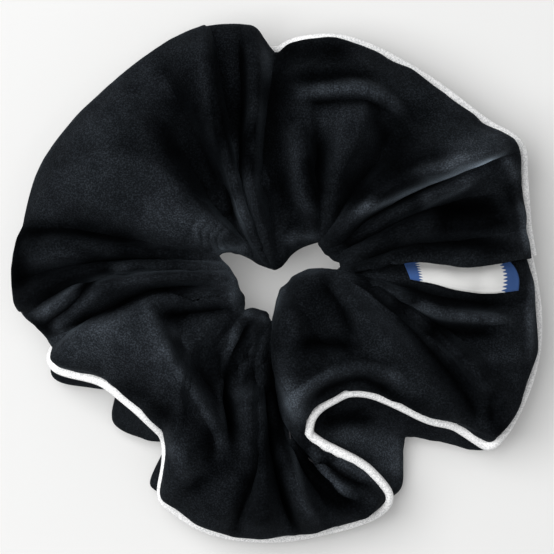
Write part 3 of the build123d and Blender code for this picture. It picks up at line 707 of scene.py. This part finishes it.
def marked(points):
    """The grid with the marks' heights, and their painted light and shade as a tone in stops."""
    place = (points[..., :2] - np.array([LOOP.x, LOOP.y])) / MM
    raised = np.zeros(points.shape[:2])
    tone = np.zeros(points.shape[:2])
    for _, width, height, strength, line in MARKS:
        nearness = near_line(place, width, line)
        raised += height * nearness
        tone += strength * nearness
    share = np.zeros(points.shape[1])
    across = np.sin(math.pi * np.arange(SEAM_ROW) / (SEAM_ROW - 1))
    share[:SEAM_ROW] = np.clip(across * EDGE_RISE, 0, 1)
    points = points.copy()
    points[..., 2] += MM * raised * share
    return points, TONE_SHARE * tone


def velvet():
    """The velvet strip, and the grid of points that it is built on."""
    points = strip_points()
    points = relaxed(points)
    points, tone = marked(refined(points))
    piece = grid_mesh("velvet", points, closed_rows=True)
    # painted light and shade: the marks' tone in stops, which brightens or darkens the pile
    painted_light_and_shade = piece.data.attributes.new("painted_light_and_shade", "FLOAT", "POINT")
    painted_light_and_shade.data.foreach_set("value", tone.ravel())
    solid = piece.modifiers.new("cloth thickness", "SOLIDIFY")
    solid.thickness = CLOTH_THICKNESS
    solid.offset = -1
    return piece, points


def tube(name, routes, radius, sides):
    """Round tubes along lists of points, as one piece."""
    curve = bpy.data.curves.new(name, "CURVE")
    curve.dimensions = "3D"
    curve.bevel_depth = radius
    curve.bevel_resolution = sides
    curve.use_fill_caps = True
    for route in routes:
        spline = curve.splines.new("POLY")
        spline.points.add(len(route) - 1)
        for point, place in zip(spline.points, route):
            point.co = (*place, 1)
    piece = bpy.data.objects.new(name, curve)
    bpy.context.scene.collection.objects.link(piece)
    return piece


def seam_offset(seam, distance):
    """The seam's line moved level away from the cloth."""
    along = np.gradient(seam, axis=0)
    along[:, 2] = 0
    along /= np.linalg.norm(along, axis=1)[:, None]
    outward = np.stack([along[:, 1], -along[:, 0], 0 * along[:, 0]], axis=-1)
    return seam + outward * distance


def piping(points):
    """The covered bead that follows the seam."""
    bead = seam_offset(points[:, SEAM_ROW], BEAD_OUT)
    return tube("piping", [bead], BEAD_RADIUS, BEAD_SIDES)


def edge_thread(points):
    """The two threads of the long seam, just inside it and under the upper panel."""
    over = points[COLUMNS_PER_FOLD:-COLUMNS_PER_FOLD, SEAM_ROW - THREAD_ROWS]
    inside = seam_offset(over, -THREAD_INSET)
    lines = [inside - np.array([0, 0, depth]) for depth in THREAD_DEPTHS]
    return tube("edge_seam_stitching", lines, THREAD_RADIUS, THREAD_SIDES)


def closing_thread(points):
    """Short stitches sunk in the pile beside the lapped end."""
    line = smooth_table(points[LIP_STITCH_COLUMN, LIP_STITCH_ROWS], LIP_STEPS)
    routes = []
    for start in range(0, len(line) - STITCH_PITCH, STITCH_PITCH):
        stitch = line[start : start + STITCH_STEPS].copy()
        stitch[1:-1, 2] += STITCH_RISE
        routes.append(stitch)
    return tube("closing_stitching", routes, THREAD_RADIUS, THREAD_SIDES)


def label_bed(points):
    """The upper cloth near the tucked end, as a surface to drop the label on."""
    bed = points[-LABEL_BED_COLUMNS:, 1:SEAM_ROW]
    count = bed.shape[1]
    faces = [
        (i * count + j, (i + 1) * count + j, (i + 1) * count + j + 1, i * count + j + 1)
        for i in range(len(bed) - 1)
        for j in range(count - 1)
    ]
    return BVHTree.FromPolygons(bed.reshape(-1, 3).tolist(), faces)


def label_outline():
    """Grid over the label seen from above, with no heights: along it from its inner end,
    and down from its sewn edge."""
    sewn = smooth_table(LABEL_SEWN_EDGE, LABEL_GRID[0])
    free = smooth_table(LABEL_FREE_EDGE, LABEL_GRID[0])
    share = np.linspace(0, 1, LABEL_GRID[1])[None, :, None]
    flat = sewn[:, None] * (1 - share) + free[:, None] * share
    along = np.linspace(0, 1, LABEL_GRID[0])[:, None]
    bow = LABEL_BOW * np.sin(math.pi * share[..., 0]) * along
    grid = np.zeros((*LABEL_GRID, 3))
    grid[..., 0] = LOOP.x + MM * (flat[..., 0] + bow)
    grid[..., 1] = LOOP.y + MM * flat[..., 1]
    return grid


def dropped(grid, ground):
    """Heights of the ground under each point of a grid."""
    height = np.full(grid.shape[:2], np.nan)
    for i, j in np.ndindex(*height.shape):
        start = Vector((grid[i, j, 0], grid[i, j, 1], OVERHEAD))
        hit = ground.ray_cast(start, DOWN)[0]
        if hit:
            height[i, j] = hit.z
    return np.where(np.isnan(height), np.nanmean(height), height)


def label_points(points):
    """Grid over the label, lying on the cloth and stiff enough to bridge its dips."""
    grid = label_outline()
    height = dropped(grid, label_bed(points))
    for _ in range(LABEL_STIFFENING):
        wide = np.pad(height, 1, mode="edge")
        mean = (wide[:-2, 1:-1] + wide[2:, 1:-1] + wide[1:-1, :-2] + wide[1:-1, 2:]) / 4
        height = np.maximum(mean, height * 0.5 + mean * 0.5)
    grid[..., 2] = height + LABEL_LIFT
    return grid


def label(points):
    """The label, with its length and width as texture coordinates."""
    piece = grid_mesh("label_tape", label_points(points), closed_rows=False)
    uv = piece.data.uv_layers.new(name="tape")
    columns, rows = LABEL_GRID
    for loop in piece.data.loops:
        i, j = divmod(loop.vertex_index, rows)
        uv.data[loop.index].uv = (i / (columns - 1), j / (rows - 1))
    solid = piece.modifiers.new("tape thickness", "SOLIDIFY")
    solid.thickness = TAPE_THICKNESS
    return piece


def new_material(name):
    """A node material: itself, its tree and its main shader."""
    material = bpy.data.materials.new(name)
    material.use_nodes = True
    return material, material.node_tree, material.node_tree.nodes["Principled BSDF"]


def noise(tree, scale, detail=2.0, roughness=0.5, stretch=None):
    """A noise pattern over the object, scale being its features per metre."""
    place = tree.nodes.new("ShaderNodeTexCoord").outputs["Object"]
    if stretch:
        mapping = tree.nodes.new("ShaderNodeMapping")
        mapping.inputs["Scale"].default_value = stretch
        tree.links.new(place, mapping.inputs["Vector"])
        place = mapping.outputs["Vector"]
    node = tree.nodes.new("ShaderNodeTexNoise")
    node.inputs["Scale"].default_value = scale
    node.inputs["Detail"].default_value = detail
    node.inputs["Roughness"].default_value = roughness
    tree.links.new(place, node.inputs["Vector"])
    return node.outputs["Fac"]


def waves(tree, scale, direction):
    """A pattern of parallel bands over the object."""
    place = tree.nodes.new("ShaderNodeTexCoord")
    node = tree.nodes.new("ShaderNodeTexWave")
    node.inputs["Scale"].default_value = scale
    node.bands_direction = direction
    tree.links.new(place.outputs["Object"], node.inputs["Vector"])
    return node.outputs["Fac"]


def ramp(tree, source, stops):
    """Turns a value into a colour between those of two stops."""
    node = tree.nodes.new("ShaderNodeValToRGB")
    for element, (position, colour) in zip(node.color_ramp.elements, stops):
        element.position = position
        element.color = (*colour, 1)
    tree.links.new(source, node.inputs["Fac"])
    return node.outputs["Color"]


def math_node(tree, operation, *values):
    """The output of one arithmetic node. Each value is a number or an output."""
    node = tree.nodes.new("ShaderNodeMath")
    node.operation = operation
    for socket, value in zip(node.inputs, values):
        if isinstance(value, (int, float)):
            socket.default_value = value
        else:
            tree.links.new(value, socket)
    return node.outputs["Value"]


def multiplied(tree, first, second):
    """The product of two colours."""
    node = tree.nodes.new("ShaderNodeMix")
    node.data_type = "RGBA"
    node.blend_type = "MULTIPLY"
    node.inputs["Factor"].default_value = 1.0
    tree.links.new(first, node.inputs["A"])
    tree.links.new(second, node.inputs["B"])
    return node.outputs["Result"]


def bump(tree, source, shader, distance, strength=1.0):
    """Raises the surface by up to a distance in metres."""
    node = tree.nodes.new("ShaderNodeBump")
    node.inputs["Distance"].default_value = distance
    node.inputs["Strength"].default_value = strength
    tree.links.new(source, node.inputs["Height"])
    tree.links.new(node.outputs["Normal"], shader.inputs["Normal"])


def velvet_material():
    """Near-black pile in patches, with fibre ends, made paler and shinier by painted light
    and darker and duller by painted shade."""
    material, tree, shader = new_material("black velvet")
    patches = noise(tree, PILE_PATCHES, detail=4, roughness=0.65)
    fibres = noise(tree, PILE_FIBRES, detail=2, roughness=0.7)
    # painted light and shade: 2 to the power of the marks' tone scales colour, specular and sheen
    painted_light_attribute = tree.nodes.new("ShaderNodeAttribute")
    painted_light_attribute.attribute_name = "painted_light_and_shade"
    gain = math_node(tree, "POWER", 2.0, painted_light_attribute.outputs["Fac"])
    tone = ramp(tree, patches, PILE_TONES)
    fleck = ramp(tree, fibres, PILE_FLECKS)
    pile = multiplied(tree, tone, fleck)
    specular = math_node(tree, "MULTIPLY", gain, PILE_SPECULAR)
    sheen = math_node(tree, "MULTIPLY", gain, PILE_SHEEN)
    tree.links.new(multiplied(tree, pile, gain), shader.inputs["Base Color"])
    tree.links.new(specular, shader.inputs["Specular IOR Level"])
    tree.links.new(sheen, shader.inputs["Sheen Weight"])
    shader.inputs["Sheen Roughness"].default_value = 0.35
    shader.inputs["Sheen Tint"].default_value = SHEEN_TINT
    shader.inputs["Roughness"].default_value = 1.0
    bump(tree, fibres, shader, distance=0.3 * MM, strength=0.6)
    return material


def band_distance(tree):
    """How far along the label a place is from its middle, with the teeth of the bands'
    woven edge and a little unevenness."""
    place = tree.nodes.new("ShaderNodeUVMap")
    parts = tree.nodes.new("ShaderNodeSeparateXYZ")
    tree.links.new(place.outputs["UV"], parts.inputs["Vector"])
    centred = math_node(tree, "SUBTRACT", parts.outputs["X"], 0.5)
    distance = math_node(tree, "ABSOLUTE", centred)
    turn = math_node(tree, "MULTIPLY", parts.outputs["Y"], BAND_TEETH)
    wave = math_node(tree, "SINE", turn)
    teeth = math_node(tree, "MULTIPLY", wave, TOOTH_LENGTH)
    wobble = noise(tree, BAND_WOBBLES, detail=1)
    rough = math_node(tree, "MULTIPLY", wobble, BAND_ROUGHNESS)
    toothed = math_node(tree, "ADD", distance, teeth)
    return math_node(tree, "ADD", toothed, rough)


def label_material():
    """White tape with a blue band woven across each end, and a fine weave."""
    material, tree, shader = new_material("woven label")
    bands = ramp(tree, band_distance(tree), LABEL_COLOURS)
    weave = waves(tree, LABEL_WEAVE, "Y")
    threads = ramp(tree, weave, LABEL_WEAVE_TONES)
    tree.links.new(multiplied(tree, bands, threads), shader.inputs["Base Color"])
    shader.inputs["Roughness"].default_value = 0.75
    bump(tree, weave, shader, distance=0.2 * MM, strength=0.6)
    return material


def piping_material():
    """Silver-white tape: bright and dull yarns, slightly raised."""
    material, tree, shader = new_material("silver piping")
    yarn = noise(tree, PIPING_YARNS, detail=2, roughness=0.7)
    tone = ramp(tree, yarn, PIPING_TONES)
    tree.links.new(tone, shader.inputs["Base Color"])
    shader.inputs["Roughness"].default_value = 0.42
    bump(tree, yarn, shader, distance=0.3 * MM, strength=0.35)
    return material


def thread_material(name, tones):
    """Spun thread: a fine twist and slightly uneven tone."""
    material, tree, shader = new_material(name)
    twist = noise(tree, THREAD_TWISTS, stretch=TWIST_STRETCH)
    tree.links.new(ramp(tree, twist, tones), shader.inputs["Base Color"])
    shader.inputs["Roughness"].default_value = 0.7
    bump(tree, twist, shader, distance=THREAD_RADIUS / 2)
    return material


def elastic_material():
    """White woven elastic: cross ribs where the rubber cores pull it short."""
    material, tree, shader = new_material("woven elastic")
    ribs = waves(tree, ELASTIC_RIBS, "Z")
    yarn = noise(tree, ELASTIC_YARNS)
    rib_tone = ramp(tree, ribs, ELASTIC_RIB_TONES)
    yarn_tone = ramp(tree, yarn, ELASTIC_YARN_TONES)
    tree.links.new(multiplied(tree, rib_tone, yarn_tone), shader.inputs["Base Color"])
    shader.inputs["Roughness"].default_value = 0.85
    bump(tree, ribs, shader, distance=0.2 * MM)
    return material


def finish_node(name, material):
    """Gives a CAD part that stays a better material."""
    node = bpy.data.objects[name]
    if not node.material_slots:
        node.data.materials.append(material)
    for slot in node.material_slots:
        slot.material = material


def table_material():
    """A white table top that glows a little, so that shadows on it stay light."""
    material, _, shader = new_material("table white")
    shader.inputs["Base Color"].default_value = TABLE_WHITE
    shader.inputs["Roughness"].default_value = 0.8
    shader.inputs["Emission Color"].default_value = TABLE_GLOW
    shader.inputs["Emission Strength"].default_value = TABLE_GLOW_STRENGTH
    return material


def stage():
    """The table that the object lies on."""
    bpy.ops.mesh.primitive_plane_add(size=TABLE_SIZE, location=(0, 0, 0))
    floor = bpy.context.object
    floor.name = "table"
    floor.data.materials.append(table_material())


def softbox(name, place, power):
    """A square area light that faces the object."""
    data = bpy.data.lights.new(name, "AREA")
    data.size = SOFTBOX_SIZE
    data.energy = power
    lamp = bpy.data.objects.new(name, data)
    lamp.location = place
    lamp.rotation_euler = (-Vector(place)).to_track_quat("-Z", "Y").to_euler()
    bpy.context.scene.collection.objects.link(lamp)


def lights():
    """A bright room, a large softbox on the left and a weak one overhead."""
    world = bpy.data.worlds.new("soft room")
    bpy.context.scene.world = world
    world.use_nodes = True
    background = world.node_tree.nodes["Background"]
    background.inputs["Color"].default_value = WHITE
    background.inputs["Strength"].default_value = ROOM_LIGHT
    softbox("left softbox", LEFT_SOFTBOX, LEFT_POWER)
    softbox("overhead softbox", OVERHEAD_SOFTBOX, OVERHEAD_POWER)


def camera():
    """Looks straight down from one metre, as wide as the object and a narrow margin."""
    data = bpy.data.cameras.new("camera")
    data.sensor_width = SENSOR_WIDTH
    data.lens = data.sensor_width * (CAMERA_HEIGHT - SHARP_HEIGHT) / VIEW_WIDTH
    holder = bpy.data.objects.new("camera", data)
    holder.location = (0, CAMERA_SHIFT, CAMERA_HEIGHT)
    bpy.context.scene.collection.objects.link(holder)
    bpy.context.scene.camera = holder
    bpy.context.scene.view_settings.view_transform = "Standard"


def add(piece, material, body, slot, *nodes):
    """Gives a piece its material and its body's empty, or for the label a baked transform, and hides the
    CAD nodes that it stands for; slot is not used.
    """
    piece.data.materials.append(material)
    if body == "label":
        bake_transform(piece)
    else:
        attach(piece, body)
    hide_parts(*nodes)


black_thread = thread_material("black thread", BLACK_THREAD_TONES)
cloth, grid = velvet()
add(cloth, velvet_material(), "casing", "velvet", "velvet_casing")
add(piping(grid), piping_material(), "casing", "piping_tape", "piping_cover", "piping_core")
add(edge_thread(grid), black_thread, "casing", "sewing_thread", "edge_seam_thread")
add(closing_thread(grid), black_thread, "casing", "sewing_thread", "closing_seam_thread")
tape = label(grid)
add(tape, label_material(), "label", "label_tape", "woven_label")
finish_node("elastic_band", elastic_material())
finish_node("elastic_joint_thread", thread_material("white thread", WHITE_THREAD_TONES))
stage()
lights()
camera()
